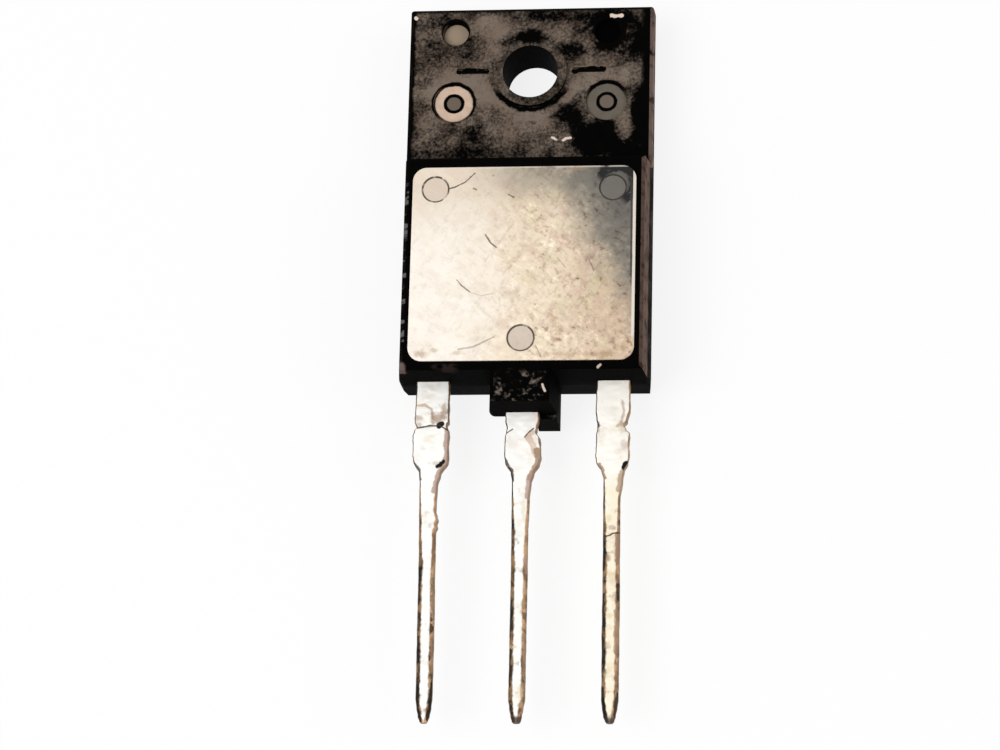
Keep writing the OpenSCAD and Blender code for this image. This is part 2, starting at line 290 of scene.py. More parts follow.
# Film on the tab: where it ends and where it is full, at the left, at the right and below the tab's end
FILM_LEFT, FILM_RIGHT, FILM_TOP = (-7.28, -7.08), (7.02, 6.72), (TAB_END - 0.14, TAB_END - 0.4)

# Lower end of the pale band on the right wall, dusty film with painted light on it: height on the tab, and
# how much higher it is below the step
BAND_FOOT, BAND_RISE = 2.68, 1.05

# Lit corner and dirt below the pad, and worn places on the tongue: middle, half width, half height
CORNER_SPOT, DIRT_SPOT = (-7.2, -19.6, 0.38, 0.42), (-4.4, -19.55, 1.0, 0.25)
TONGUE_PATCHES = ((0.7, -20.5, 0.8, 0.9), (0.2, -21.35, 1.2, 0.4), (-1.25, -21.0, 0.3, 0.6))

# Fleck below the pad and bright streak on the tongue, with the half width of both
FLECK_LINE = ((4.62, -19.62), (4.78, -19.5))
STREAK_LINE = ((1.36, -20.7), (1.42, -20.9), (1.52, -21.1))
FINE_LINE = 0.05


def tab_film(g, up):
    """Share of worn film on the tab: patches set its level and paint the tab lighter on the left and darker
    on the right as painted light and shade, and grain breaks it up where it is thin.
    """
    wander = g.wobble(0.9, 1.2, 6)
    level = g.plus(g.wobble(1.0, 1.6, 6), 0.47)
    # Patches of film, whose bright left and dark right are painted light and shade
    for x, y, wide, high, strength in TAB_PATCHES:
        level = g.plus(level, g.times(g.spot(x, y, wide, high, wander, 0.25), strength))
    low_side = g.smooth(g.y, -0.2, -1.0)
    level = g.plus(level, g.times(g.ring(0, 0, *HALO), low_side, 0.3))
    film = g.smooth(g.plus(level, g.wobble(5.0, 1.3, 4)), 0.02, 1.0)
    worn = g.plus(g.times(g.smooth(level, 1.1, 0.5), 0.45), 0.1)
    film = g.times(film, g.minus(1.0, g.times(g.smooth(g.noise(7.0, 2), 0.46, 0.64), worn)))

    # The film ends before the tab's edges, and is thinner on the lip
    edge = g.wobble(2.0, 0.35)
    inside = g.times(
        g.smooth(g.plus(g.x, edge), *FILM_LEFT), g.smooth(g.plus(g.x, edge), *FILM_RIGHT),
        g.smooth(g.plus(g.y, edge), *FILM_TOP),
        g.smooth(g.y, STEP_Y + 0.1, STEP_Y + 0.3), g.smooth(g.z, 3.95, 3.85),
    )
    around = g.away(0.0, 0.0)
    upper = g.smooth(g.y, -1.0, 0.4)
    on_lip = g.times(g.smooth(g.z, LIP_LOW, LIP_HIGH), g.minus(0.25, g.times(upper, 0.15)))
    skirt = g.times(
        g.smooth(around, LIP_R - 0.3, LIP_R - 0.2), g.smooth(around, LIP_R + 0.35, LIP_R + 0.25), upper
    )
    return g.times(film, g.most(up, skirt), inside, g.minus(1.0, on_lip))


def tab_marks(g, colour, black, up):
    """Floors of the pin pockets and of the round marks, with painted shade in their rims, in the ring
    grooves and in the dash grooves.
    """
    for side, pocket, floor, rim_from in TAB_MARKS:
        px, mx = side * POCKET_X, side * MARK_X
        dab = g.plus(g.times(g.noise(2.2, 5), 0.5), 0.72)
        on_mark = g.times(up, g.smooth(g.away(mx, MARK_Y), MARK_R, MARK_R - 0.04))
        colour = g.mix(on_mark, colour, g.shaded(floor, dab))
        core = g.smooth(g.away(mx, MARK_Y), GROOVE_R - 0.06, GROOVE_R - 0.1)
        colour = g.mix(g.times(up, core), colour, MARK_CORE)
        # Painted shade in the ring groove, in the mark's upper rim and in the pocket's upper rim
        colour = g.mix(g.ring(mx, MARK_Y, GROOVE_R, 0.085, 0.05, g.wobble(2.5, 0.1)), colour, black)
        rim = g.ring(mx, MARK_Y, MARK_R + 0.02, 0.07, 0.08, g.wobble(2.0, 0.2))
        colour = g.mix(g.times(rim, g.smooth(g.y, rim_from, rim_from + 0.9)), colour, black)
        pocket_rim = g.smooth(g.away(px, POCKET_Y + 0.08), POCKET_R + 0.15, POCKET_R + 0.05)
        colour = g.mix(pocket_rim, colour, black)
        on_floor = g.times(up, g.smooth(g.away(px, POCKET_Y), POCKET_R - 0.01, POCKET_R - 0.06))
        colour = g.mix(on_floor, colour, pocket)
        # Painted shade in the dash groove
        dash = g.line([(side * x, y) for x, y in DASH], DASH_HALF_WIDTH, g.wobble(2.2, 0.5, 5), 0.06)
        colour = g.mix(g.times(dash, g.smooth(g.z, LIP_HIGH, LIP_LOW)), colour, black)
    return colour


def wall_dust_and_light(g, colour):
    """Dust on the side walls, with painted light on the right ones: a pale band in front on the right,
    thinner below it and on the left.
    """
    wall = g.times(g.smooth(g.size(g.nx), 0.5, 0.8), g.smooth(g.size(g.x), 5.0, 6.0))
    right = g.smooth(g.nx, 0.0, 0.1)
    dust_and_light = g.mix(g.smooth(g.y, STEP_Y - 0.5, STEP_Y + 0.5), DUST_AND_LIGHT_BODY, DUST_AND_LIGHT_TAB)
    foot = g.plus(g.times(g.smooth(g.y, STEP_Y + 0.2, STEP_Y - 0.3), BAND_RISE), BAND_FOOT)
    raised = g.smooth(g.minus(g.plus(g.z, g.wobble(0.8, 0.9)), foot), 0.0, 0.25)
    patchy = g.smooth(g.noise(1.1, 6, 0.65), 0.30, 0.55)
    # The pale band on the right walls is painted light over dusty patches
    colour = g.mix(g.times(wall, right, raised, patchy, 0.95), colour, dust_and_light)
    # Thin dusty patches, stronger on the right walls as painted light
    thin = g.times(g.smooth(g.noise(0.7, 6, 0.65), 0.44, 0.70), g.plus(g.times(right, 0.6), 0.12))
    return g.mix(g.times(wall, thin), colour, DUST_AND_LIGHT_THIN)


def front_marks(g, colour, up):
    """Painted highlights dotted along the left edge, painted light on the lower left corner, fleck and dirt
    below the pad, and the worn tongue.
    """
    # Painted highlights dotted along the front left edge
    edge_glints = g.smooth(g.noise(1.0, 2, at=g.moved(stretch=(0.6, 2.6, 0.6))), 0.54, 0.62)
    left_edge = g.times(g.smooth(g.x, -6.98, -7.04), g.smooth(g.z, 4.9, 5.3), g.smooth(g.y, -7.5, -8.5))
    colour = g.mix(g.times(edge_glints, left_edge, 0.8), colour, EDGE_GLINT)
    front = g.smooth(g.z, 4.6, 4.9)
    corner = g.spot(*CORNER_SPOT, g.wobble(2.0, 0.5))
    colour = g.mix(g.times(corner, front, 0.9), colour, LIT_CORNER)
    fleck = g.line(FLECK_LINE, FINE_LINE)
    colour = g.mix(g.times(fleck, front), colour, FRONT_FLECK)
    dirt = g.times(g.spot(*DIRT_SPOT), g.smooth(g.noise(1.8, 4), 0.42, 0.6), front)
    colour = g.mix(g.times(dirt, 0.5), colour, FRONT_DIRT)

    tongue = g.times(up, g.smooth(g.y, LEAD_END + 0.25, LEAD_END - 0.05))
    bare = g.most(*[g.spot(*patch) for patch in TONGUE_PATCHES], 0.25)
    flecks = g.times(tongue, bare, g.smooth(g.noise(2.3, 6, 0.62), 0.52, 0.70))
    colour = g.mix(flecks, colour, TONGUE_FLECK)
    streak = g.line(STREAK_LINE, FINE_LINE, g.wobble(3.0, 0.06))
    return g.mix(g.times(streak, front), colour, TONGUE_STREAK)


def epoxy_material():
    """Black moulding compound with a worn grey-brown film on the tab."""
    g = Graph("epoxy")
    up = g.smooth(g.nz, 0.75, 0.95)
    black = g.mix(g.noise(1.5, 4), COMPOUND_DEEP, COMPOUND_PALE)
    taupe = g.mix(g.smooth(g.noise(0.55, 3), 0.36, 0.64), FILM_DARK, FILM_PALE)
    colour = g.mix(tab_film(g, up), black, taupe)
    # Black crescent below the lip: painted shadow of the lip
    crescent = g.ring(0.0, 0.0, *LIP_SHADOW_RING, g.wobble(2.2, 0.5, 5))
    crescent = g.times(crescent, g.smooth(g.y, -0.8, -1.4), up, g.smooth(g.z, LIP_HIGH, LIP_LOW))
    colour = g.mix(crescent, colour, black)
    colour = tab_marks(g, colour, black, up)
    for points, half_width in CHIPS:
        chip = g.line(points, half_width, g.wobble(4.0, 0.2), 0.05)
        colour = g.mix(g.times(chip, g.smooth(g.nz, 0.3, 0.6)), colour, CHIP)
    colour = wall_dust_and_light(g, colour)
    colour = front_marks(g, colour, up)

    rough = g.plus(g.times(g.noise(3.0, 4), 0.2), 0.52)
    g.bump(g.plus(g.times(g.noise(9.0, 3), 0.6), g.times(g.noise(1.2, 4), 0.8)), 0.3, 0.05)
    return g.finish(colour, rough, specular=0.006)


# Colours of the pad from left to right and at its top, a grade that is a painted reflection, and of the
# tints, strokes and nicks in it
PAD_WHITE, PAD_CREAM, PAD_TAN = (0.945, 0.875, 0.780), (0.840, 0.705, 0.540), (0.620, 0.470, 0.330)
PAD_TOP, PAD_PINK, PAD_GREEN = (0.66, 0.530, 0.390), (0.58, 0.395, 0.315), (0.66, 0.59, 0.370)
STROKE_DARK, STROKE_PALE, NICK = (0.43, 0.330, 0.240), (0.86, 0.78, 0.66), (0.42, 0.295, 0.220)

# Colours of the dim part of the painted reflection and the smudge in it, what a dent leaves of the light,
# and the pad's dirt and rims, the right and top ones painted highlights
DIM_REFLECTION_THIN, DIM_REFLECTION_FULL = (0.205, 0.188, 0.155), (0.100, 0.097, 0.088)
DIM_REFLECTION_DEEP, SMUDGE = (0.052, 0.050, 0.045), (0.004, 0.004, 0.004)
DENT, SPECK = (0.46, 0.37, 0.29), (0.19, 0.125, 0.085)
RUST_PALE, RUST_DARK = (0.56, 0.36, 0.20), (0.20, 0.112, 0.055)
SCRATCH, PIN_OUTLINE, SEAM = (0.085, 0.060, 0.042), (0.020, 0.015, 0.012), (0.030, 0.028, 0.025)
RIGHT_RIM_HIGHLIGHT, TOP_RIM_HIGHLIGHT = (0.78, 0.71, 0.62), (0.72, 0.645, 0.55)

# Middles of the ejector-pin marks, with the colour of each floor
EJECTORS = (
    (-5.37, -8.35, (0.66, 0.55, 0.44)),
    (5.37, -8.35, (0.148, 0.140, 0.120)),
    (0.0, -17.81, (0.58, 0.49, 0.41)),
)

# Painted highlight on the right rim of the pad: where it sets in along X, and its lower end along Y; dark
# seam inside it
RIM_X, RIM_END = (6.56, 6.61), (-18.3, -17.5)
SEAM_LINE = ((6.44, -7.8), (6.51, -10.0), (6.53, -14.0))

# Dim part of the painted reflection: a point of its slanting edge and the way across it, and its deepest
# spot as middle and half sizes
DIM_EDGE_X, DIM_EDGE_Y, ACROSS_X, ACROSS_Y = 1.9, -7.3, 0.866, 0.5
DEEP_SPOT = (6.3, -7.7, 1.8, 1.7)

# Black smudge: middle, radius, half width, softness
SMUDGE_RING = (5.62, -8.12, 1.1, 0.27, 0.16)

# Scratches on the pad: points, half width, strength
PAD_SCRATCHES = (
    (((-4.58, -8.33), (-4.19, -8.22), (-3.59, -7.92), (-3.0, -7.35)), 0.028, 0.9),
    (((-3.9, -14.15), (-3.62, -14.5), (-3.1, -14.91)), 0.022, 0.8),
    (((-3.1, -14.91), (-2.4, -15.15), (-1.7, -15.0)), 0.012, 0.3),
    (((-2.25, -11.3), (-1.95, -11.8), (-1.6, -12.1)), 0.035, 0.8),
    (((-0.92, -8.74), (-0.6, -8.92)), 0.035, 0.75),
    (((-3.05, -8.32), (-2.88, -8.4)), 0.045, 0.7),
    (((4.0, -12.9), (4.3, -13.6)), 0.02, 0.55),
    (((2.1, -12.8), (2.6, -13.4)), 0.015, 0.4),
    (((-3.7, -18.5), (-2.8, -18.35), (-1.6, -17.75)), 0.04, 0.45),
    (((0.9, -18.3), (1.25, -19.0)), 0.018, 0.5),
)

# Specks and stains on the pad: middle, half width, half height, strength
PAD_STAINS = (
    (3.36, -14.12, 0.16, 0.11, 0.95), (4.73, -14.14, 0.13, 0.24, 0.8), (4.55, -15.08, 0.14, 0.16, 0.6),
    (4.35, -15.6, 0.18, 0.11, 0.6), (3.06, -12.2, 0.2, 0.16, 0.55), (1.95, -16.7, 0.4, 0.55, 0.5),
    (2.3, -17.4, 0.32, 0.6, 0.6), (2.1, -17.95, 0.4, 0.25, 0.55), (6.62, -18.3, 0.12, 0.16, 0.9),
    (6.5, -18.75, 0.12, 0.1, 0.8), (-6.0, -18.75, 0.8, 0.3, 0.6), (-5.2, -18.55, 0.45, 0.24, 0.5),
    (-3.7, -18.75, 0.6, 0.2, 0.45), (2.6, -18.85, 1.3, 0.3, 0.45), (4.6, -18.85, 1.5, 0.34, 0.6),
    (6.2, -18.5, 0.6, 0.6, 0.4), (3.2, -7.15, 0.6, 0.15, 0.6), (-1.9, -7.5, 0.14, 0.12, 0.6),
    (5.6, -17.0, 0.2, 0.3, 0.4), (4.4, -16.8, 0.14, 0.4, 0.4), (5.0, -17.4, 0.16, 0.2, 0.45),
)


def pad_tints(g, across, strokes):
    """Pad from white on the left to tan on the right and darker at the top, a painted reflection, with
    tints and fine mottling.
    """
    sway = g.wobble(0.35, 5.0, 3)
    # The grade from white to tan and the darker top are a painted reflection
    colour = g.mix(g.smooth(g.plus(g.x, sway), -4.5, 1.0), PAD_WHITE, PAD_CREAM)
    colour = g.mix(g.smooth(g.plus(g.x, sway), 0.5, 6.6), colour, PAD_TAN)
    colour = g.mix(g.times(g.smooth(g.y, -12.5, -7.5), 0.6), colour, PAD_TOP)
    pink = g.smooth(g.noise(0.9, 5, 0.6, at=g.moved((9, 2, 0))), 0.46, 0.66)
    colour = g.mix(g.times(pink, across, 0.6), colour, PAD_PINK)
    green = g.smooth(g.noise(0.8, 5, 0.6, at=g.moved((2, 17, 0))), 0.48, 0.66)
    colour = g.mix(g.times(green, across, 0.55), colour, PAD_GREEN)
    colour = g.mix(g.times(g.smooth(strokes, 0.53, 0.68), across, 0.5), colour, STROKE_DARK)
    colour = g.mix(g.times(g.smooth(strokes, 0.44, 0.30), across, 0.4), colour, STROKE_PALE)
    nicks = g.noise(1.0, 5, 0.65, at=g.moved((3, 21, 0), -55, (1.2, 2.4, 1)))
    return g.mix(g.times(g.smooth(nicks, 0.54, 0.68), across, 0.55), colour, NICK)


def pad_dim_reflection(g, colour):
    """Painted reflection, dim and grey beyond a slanting edge and along the top, and a black smudge at the
    right pin mark.
    """
    wander = g.wobble(0.8, 2.4, 6)
    dx, dy = g.minus(g.x, DIM_EDGE_X), g.minus(g.y, DIM_EDGE_Y)
    beyond = g.plus(g.times(dx, ACROSS_X), g.times(dy, ACROSS_Y), wander)
    grey = g.smooth(beyond, -1.8, 1.2)
    along_top = g.times(g.smooth(g.plus(g.y, g.times(wander, 0.5)), -9.8, -7.3), g.smooth(g.x, -4.5, 2.0))
    grey = g.most(grey, g.times(along_top, 0.8))
    streaky = g.plus(g.times(g.noise(1.0, 5, 0.6, at=g.moved((1, 4, 0), -52, (0.7, 2.6, 1))), 0.7), 0.65)
    # Dim grey painted reflection, deepest at the upper right
    dim_reflection = g.mix(g.smooth(beyond, 0.0, 2.6), DIM_REFLECTION_THIN, DIM_REFLECTION_FULL)
    colour = g.mix(g.calc("MINIMUM", g.times(grey, streaky), 0.95), colour, dim_reflection)
    deep = g.smooth(g.away(*DEEP_SPOT), 1.1, 0.2)
    colour = g.mix(g.times(deep, 0.5), colour, DIM_REFLECTION_DEEP)
    round_mark = g.ring(*SMUDGE_RING, g.wobble(1.5, 0.6))
    speckle = g.smooth(g.noise(4.0, 4, 0.6), 0.32, 0.44)
    smudge = g.times(round_mark, speckle, g.smooth(g.plus(g.x, g.y), -3.6, -2.9))
    return g.mix(smudge, colour, SMUDGE)


def pad_dents(g, colour):
    """Painted shade of fine dents, in brown, and painted glints, in patches, fewest on the left."""
    dents = g.noise(2.3, 4, 0.66, at=g.moved((4, 13, 0), 38, (1, 1.25, 1)))
    patchy = g.plus(g.times(g.smooth(g.noise(0.55, 3), 0.42, 0.60), 0.75), 0.40)
    grain = g.times(patchy, g.plus(g.times(g.smooth(g.x, -4.0, 3.5), 0.92), 0.08))
    dent = g.times(g.smooth(dents, 0.51, 0.72), grain)
    # Painted shade of the dents, then painted glints
    colour = g.shaded(colour, g.mix(dent, (1.0, 1.0, 1.0), DENT))
    return g.shaded(colour, g.plus(g.times(g.smooth(dents, 0.48, 0.30), grain, 0.36), 1.0))


def pad_stains(g, colour, across):
    """Rusty stains and small dark specks."""
    blur = g.wobble(2.6, 2.2, 6)
    stains = 0.0
    for x, y, wide, high, strength in PAD_STAINS:
        stains = g.most(g.times(g.spot(x, y, wide, high, blur, 0.1), strength), stains)
    colour = g.mix(stains, colour, g.mix(stains, RUST_PALE, RUST_DARK))
    specks = g.smooth(g.noise(3.4, 2, 0.5, at=g.moved((7, 5, 0))), 0.70, 0.76)
    return g.mix(g.times(specks, across, 0.7), colour, SPECK)


def pad_rims(g, colour, shake):
    """Ejector-pin marks with dirt in their outlines, painted highlights on the right and top rims, and the
    seam.
    """
    for x, y, floor in EJECTORS:
        colour = g.mix(g.times(g.smooth(g.away(x, y), EJECTOR_R, EJECTOR_R - 0.03), 0.8), colour, floor)
        outline = g.times(g.ring(x, y, EJECTOR_R, 0.028, 0.05), g.smooth(g.noise(1.6, 3), 0.28, 0.5))
        colour = g.mix(g.times(outline, 0.92), colour, PIN_OUTLINE)
    # Painted highlights on the right and top rims of the pad
    rim = g.times(g.smooth(g.x, *RIM_X), g.smooth(g.y, *RIM_END))
    colour = g.mix(g.times(rim, 0.9), colour, RIGHT_RIM_HIGHLIGHT)
    top_rim_highlight = g.times(g.smooth(g.y, PAD_HIGH - 0.13, PAD_HIGH - 0.07), g.smooth(g.noise(1.2, 4), 0.35, 0.5))
    colour = g.mix(g.times(top_rim_highlight, 0.6), colour, TOP_RIM_HIGHLIGHT)
    seam = g.line(SEAM_LINE, 0.03, shake, 0.06)
    return g.mix(g.times(seam, 0.85), colour, SEAM)


def pad_material():
    """Pale satin face of the marking pad, with a painted reflection that dims toward its upper right
    corner.
    """
    g = Graph("pad")
    across = g.plus(g.times(g.smooth(g.x, -5.0, 4.0), 0.75), 0.25)
    strokes = g.noise(1.0, 5, 0.65, at=g.moved((5, 9, 0), 38, (1.1, 2.4, 1)))
    shake = g.wobble(3.0, 0.10)
    colour = pad_tints(g, across, strokes)
    colour = pad_dim_reflection(g, colour)
    colour = pad_dents(g, colour)
    colour = pad_stains(g, colour, across)
    scores = 0.0
    for points, half_width, strength in PAD_SCRATCHES:
        scores = g.most(g.times(g.line(points, half_width, shake, 0.035), strength), scores)
    colour = g.mix(scores, colour, SCRATCH)
    colour = pad_rims(g, colour, shake)

    rough = g.plus(g.times(g.noise(1.3, 5), 0.25), 0.30)
    fine = g.times(g.noise(6.0, 3), 0.2)
    g.bump(g.plus(g.noise(0.7, 5), g.times(strokes, 0.6), fine, g.times(scores, -0.6)), 0.4, 0.08)
    return g.finish(colour, rough, metallic=0.15, specular=0.3)


# Colours of the tinned leads: flats, then a dark and a brown one for left edges, right edges and sides; the
# edges are oxide, painted as shade on the left and as light on the right
TIN_WHITE, TIN_WARM, TIN_CREAM = (0.965, 0.945, 0.905), (0.955, 0.845, 0.660), (0.74, 0.63, 0.49)
SHADED_LEFT_DARK, SHADED_LEFT_BROWN = (0.012, 0.009, 0.007), (0.30, 0.180, 0.090)
LIT_RIGHT_DARK, LIT_RIGHT_BROWN = (0.25, 0.140, 0.070), (0.58, 0.370, 0.215)
SIDE_DARK, SIDE_BROWN = (0.160, 0.100, 0.058), (0.34, 0.205, 0.115)

# Colours of what lies on the leads
GRIME, CRACK, BURNT_TIP = (0.035, 0.020, 0.010), (0.060, 0.038, 0.024), (0.035, 0.025, 0.018)
DARK, BROWN, PINK = (0.006, 0.005, 0.004), (0.34, 0.215, 0.135), (0.42, 0.275, 0.215)
PEACH, STRAW = (0.66, 0.490, 0.375), (0.72, 0.60, 0.36)

# Along Y: where the narrow shank sets in, and the burnt tip; along X: where the burnt leads begin
SHANK_Y, BURNT_Y, BURNT_X = (-25.0, -27.0), (-40.1, -40.45), (-4.0, -3.0)

# Cracks and dark lines on the leads: points, half width
LEAD_LINES = (
    (((-6.46, -22.71), (-6.0, -22.64), (-5.56, -22.54), (-4.95, -22.56), (-4.5, -22.83)), 0.03),
    (((0.67, -22.77), (0.42, -22.98), (0.14, -23.29)), 0.02),
    (((-0.93, -23.04), (-0.59, -22.80)), 0.022),
    (((5.0, -29.43), (5.3, -29.38), (5.5, -29.25), (6.0, -29.18)), 0.03),
)

# Stained edges and blots on the leads: points, half width, strength, colour
LEAD_STREAKS = (
    (((-5.97, -31.5), (-5.95, -33.4)), 0.07, 0.9, DARK),
    (((-5.93, -35.5), (-5.92, -36.6)), 0.08, 0.9, DARK),
    (((-5.91, -38.4), (-5.76, -40.1), (-5.62, -40.5)), 0.07, 0.95, DARK),
    (((-4.94, -38.3), (-5.04, -39.6), (-5.2, -40.4)), 0.08, 0.95, DARK),
    (((-5.02, -32.6), (-5.0, -34.2)), 0.1, 0.7, BROWN),
    (((-4.98, -36.0), (-4.96, -37.6)), 0.1, 0.7, BROWN),
    (((-0.5, -33.4), (-0.48, -34.8)), 0.08, 0.9, DARK),
    (((-0.48, -36.3), (-0.47, -38.4)), 0.09, 0.9, DARK),
    (((0.45, -35.4), (0.47, -37.6)), 0.1, 0.7, BROWN),
    (((0.45, -30.6), (0.46, -31.6)), 0.08, 0.6, PINK),
    (((4.95, -29.8), (4.93, -31.4)), 0.09, 0.9, DARK),
    (((4.97, -33.0), (4.95, -34.6)), 0.1, 0.9, DARK),
    (((4.96, -35.6), (4.98, -37.0)), 0.08, 0.9, DARK),
    (((5.86, -32.4), (5.88, -33.2)), 0.08, 0.9, DARK),
    (((4.99, -38.6), (5.1, -40.0), (5.25, -40.5)), 0.1, 0.95, DARK),
    (((5.94, -38.9), (5.8, -40.2)), 0.08, 0.9, DARK),
    (((5.8, -29.3), (5.82, -31.0)), 0.12, 0.8, BROWN),
    (((5.78, -34.0), (5.84, -36.4)), 0.12, 0.7, BROWN),
    (((-4.54, -22.9), (-4.48, -24.5), (-4.76, -25.15), (-5.04, -25.8), (-5.2, -26.6)), 0.13, 0.85, PINK),
    (((-6.58, -24.7), (-6.1, -25.3), (-6.03, -25.9)), 0.03, 0.8, DARK),
    (((-5.03, -25.10), (-4.67, -24.80)), 0.085, 1.0, DARK),
    (((-6.45, -21.30), (-5.90, -21.25), (-5.48, -21.57), (-5.42, -22.09)), 0.035, 0.6, BROWN),
    (((-4.97, -22.51), (-4.93, -22.49)), 0.17, 1.0, DARK),
    (((-1.04, -24.6), (-0.54, -25.5), (-0.47, -26.0)), 0.04, 0.9, DARK),
    (((0.30, -23.25), (0.60, -23.05)), 0.10, 0.8, PEACH),
    (((0.38, -23.3), (0.68, -23.9), (0.88, -24.4)), 0.17, 0.8, PEACH),
    (((0.88, -24.1), (1.0, -24.6), (0.90, -25.1), (0.5, -25.8)), 0.13, 0.85, BROWN),
    (((0.56, -25.7), (0.45, -26.2), (0.42, -27.0)), 0.12, 0.8, PINK),
    (((4.50, -22.45), (4.52, -22.6)), 0.11, 0.8, DARK),
    (((4.64, -25.0), (5.0, -25.85)), 0.07, 0.9, BROWN),
    (((6.24, -25.05), (6.18, -25.18)), 0.19, 1.0, DARK),
    (((6.02, -25.5), (5.8, -26.6)), 0.12, 0.7, BROWN),
    (((5.93, -21.03), (6.06, -21.78), (5.89, -22.52), (5.66, -22.66)), 0.045, 0.55, BROWN),
)

# Stains on the leads: middle, half width, half height, strength, colour
LEAD_STAINS = (
    (-5.2, -22.05, 0.7, 0.55, 0.75, BROWN), (-4.74, -21.7, 0.3, 0.8, 0.6, BROWN),
    (-6.2, -22.1, 0.4, 0.3, 0.6, BROWN), (-6.3, -22.5, 0.4, 0.25, 0.6, BROWN),
    (-5.6, -23.4, 0.5, 0.35, 0.3, STRAW), (-5.9, -24.0, 0.3, 0.2, 0.25, BROWN),
    (4.5, -22.9, 0.15, 0.4, 0.6, PINK), (5.9, -22.6, 0.5, 0.4, 0.6, STRAW),
    (6.1, -22.6, 0.35, 0.5, 0.5, BROWN), (6.1, -23.8, 0.3, 0.5, 0.35, PINK),
    (5.85, -25.9, 0.2, 0.6, 0.6, STRAW), (5.72, -30.2, 0.24, 0.5, 0.7, BROWN),
    (5.3, -28.35, 0.25, 0.3, 0.65, STRAW), (5.3, -34.2, 0.3, 0.3, 0.6, STRAW),
    (5.35, -37.6, 0.3, 0.6, 0.5, STRAW), (0.2, -27.8, 0.2, 0.8, 0.4, STRAW),
    (0.25, -35.2, 0.25, 0.4, 0.5, STRAW), (0.2, -38.8, 0.3, 0.8, 0.45, STRAW),
    (-0.2, -36.1, 0.3, 0.16, 0.7, STRAW), (-5.2, -24.9, 0.35, 0.2, 0.4, BROWN),
    (5.2, -30.7, 0.25, 0.35, 0.8, BROWN), (5.05, -30.3, 0.16, 0.3, 0.95, DARK),
    (5.9, -28.6, 0.14, 0.35, 0.95, DARK), (5.55, -28.9, 0.3, 0.25, 0.6, BROWN),
    (5.4, -31.8, 0.3, 0.5, 0.5, STRAW), (5.6, -33.0, 0.2, 0.4, 0.5, BROWN),
    (5.3, -36.0, 0.2, 0.3, 0.5, BROWN),
)


def tin_coat(g):
    """Tin, near white on the flats, with oxide on the edges, painted dark as shade along the left ones and
    brown as light along the right ones.
    """
    shank = g.smooth(g.y, *SHANK_Y)
    warm = g.times(g.smooth(g.plus(g.x, g.wobble(0.8, 3.0)), 3.0, 6.0), g.plus(g.times(shank, 0.75), 0.25))
    silver = g.mix(warm, TIN_WHITE, TIN_WARM)
    cream = g.times(g.smooth(g.noise(1.1, 5, 0.6), 0.5, 0.7), g.plus(g.times(warm, 0.65), 0.35))
    silver = g.mix(cream, silver, TIN_CREAM)
    patch = g.smooth(g.noise(1.0, 5, 0.62, at=g.moved(stretch=(1, 0.9, 1))), 0.38, 0.62)
    # Edge colours: painted shade on the left edges, painted light on the right edges
    left = g.mix(patch, SHADED_LEFT_DARK, SHADED_LEFT_BROWN)
    right = g.mix(patch, LIT_RIGHT_DARK, LIT_RIGHT_BROWN)
    brown = g.mix(g.smooth(g.nx, -0.1, 0.1), left, right)
    brown = g.mix(g.smooth(g.size(g.nz), 0.5, 0.15), brown, g.mix(patch, SIDE_DARK, SIDE_BROWN))
    tilt = g.plus(g.size(g.nz), g.wobble(2.0, 0.16, 6), g.times(g.minus(1.0, shank), 0.05))
    tilt = g.minus(tilt, g.times(shank, g.smooth(g.nx, 0.0, -0.12), 0.020))
    colour = g.mix(g.smooth(tilt, 0.93, 0.995), brown, silver)

    # Dark specks along the rounded edges of the shanks, fewest on the right lead
    grime = g.smooth(g.noise(2.2, 4, 0.6, at=g.moved((6, 3, 0), stretch=(1, 0.6, 1))), 0.48, 0.58)
    rounded = g.smooth(g.size(g.nz), 0.992, 0.95)
    lower = g.times(g.smooth(g.y, -30.0, -34.0), g.minus(1.0, g.times(g.smooth(g.x, -3.0, 4.0), 0.5)))
    return g.mix(g.times(grime, rounded, lower, 0.9), colour, GRIME)


def tin_material():
    """Tinned lead with its stains, streaks and cracks, and the burnt tips of the middle and right leads."""
    g = Graph("tin")
    colour = tin_coat(g)
    blur = g.wobble(2.8, 2.4, 6)
    for x, y, wide, high, strength, stain in LEAD_STAINS:
        colour = g.mix(g.times(g.spot(x, y, wide, high, blur, 0.2), strength), colour, stain)
    frayed = g.wobble(2.6, 0.3, 5)
    in_front = g.smooth(g.nz, 0.05, 0.4)
    for points, half_width, strength, stain in LEAD_STREAKS:
        streak = g.times(g.line(points, half_width, frayed, 0.08), in_front, strength)
        colour = g.mix(streak, colour, stain)
    shake = g.wobble(3.0, 0.08)
    cracks = 0.0
    for points, half_width in LEAD_LINES:
        cracks = g.most(g.line(points, half_width, shake), cracks)
    colour = g.mix(g.times(cracks, g.smooth(g.nz, 0.2, 0.5), 0.92), colour, CRACK)
    tip = g.times(g.smooth(g.plus(g.y, g.wobble(2.0, 0.3)), *BURNT_Y), g.smooth(g.x, *BURNT_X))
    colour = g.mix(g.times(tip, 0.85), colour, BURNT_TIP)

    rough = g.plus(g.times(g.noise(2.0, 4), 0.25), 0.26)
    g.bump(g.plus(g.noise(1.4, 4), g.times(g.noise(7.0, 3), 0.3), g.times(cracks, -0.6)), 0.25, 0.05)
    return g.finish(colour, rough, metallic=0.15, specular=0.1)


def plain_material(name, colour, roughness, metallic):
    return Graph(name).finish(colour, roughness, metallic)


# Distance, in m, below which points of the frame are one, angle up to which faces are flat, margin of a cut
SAME_POINT, FLAT_DEG, CUT_MARGIN = 2e-7, 0.6, 1e-7

# Edges of the body: least angle that is rounded, and width and segments of each kind
ROUNDED_FROM_DEG = 20
STEP_CORNER_ROUND, FINE_ROUND, COARSE_ROUND = (0.3, 4), (0.03, 2), (0.06, 2)

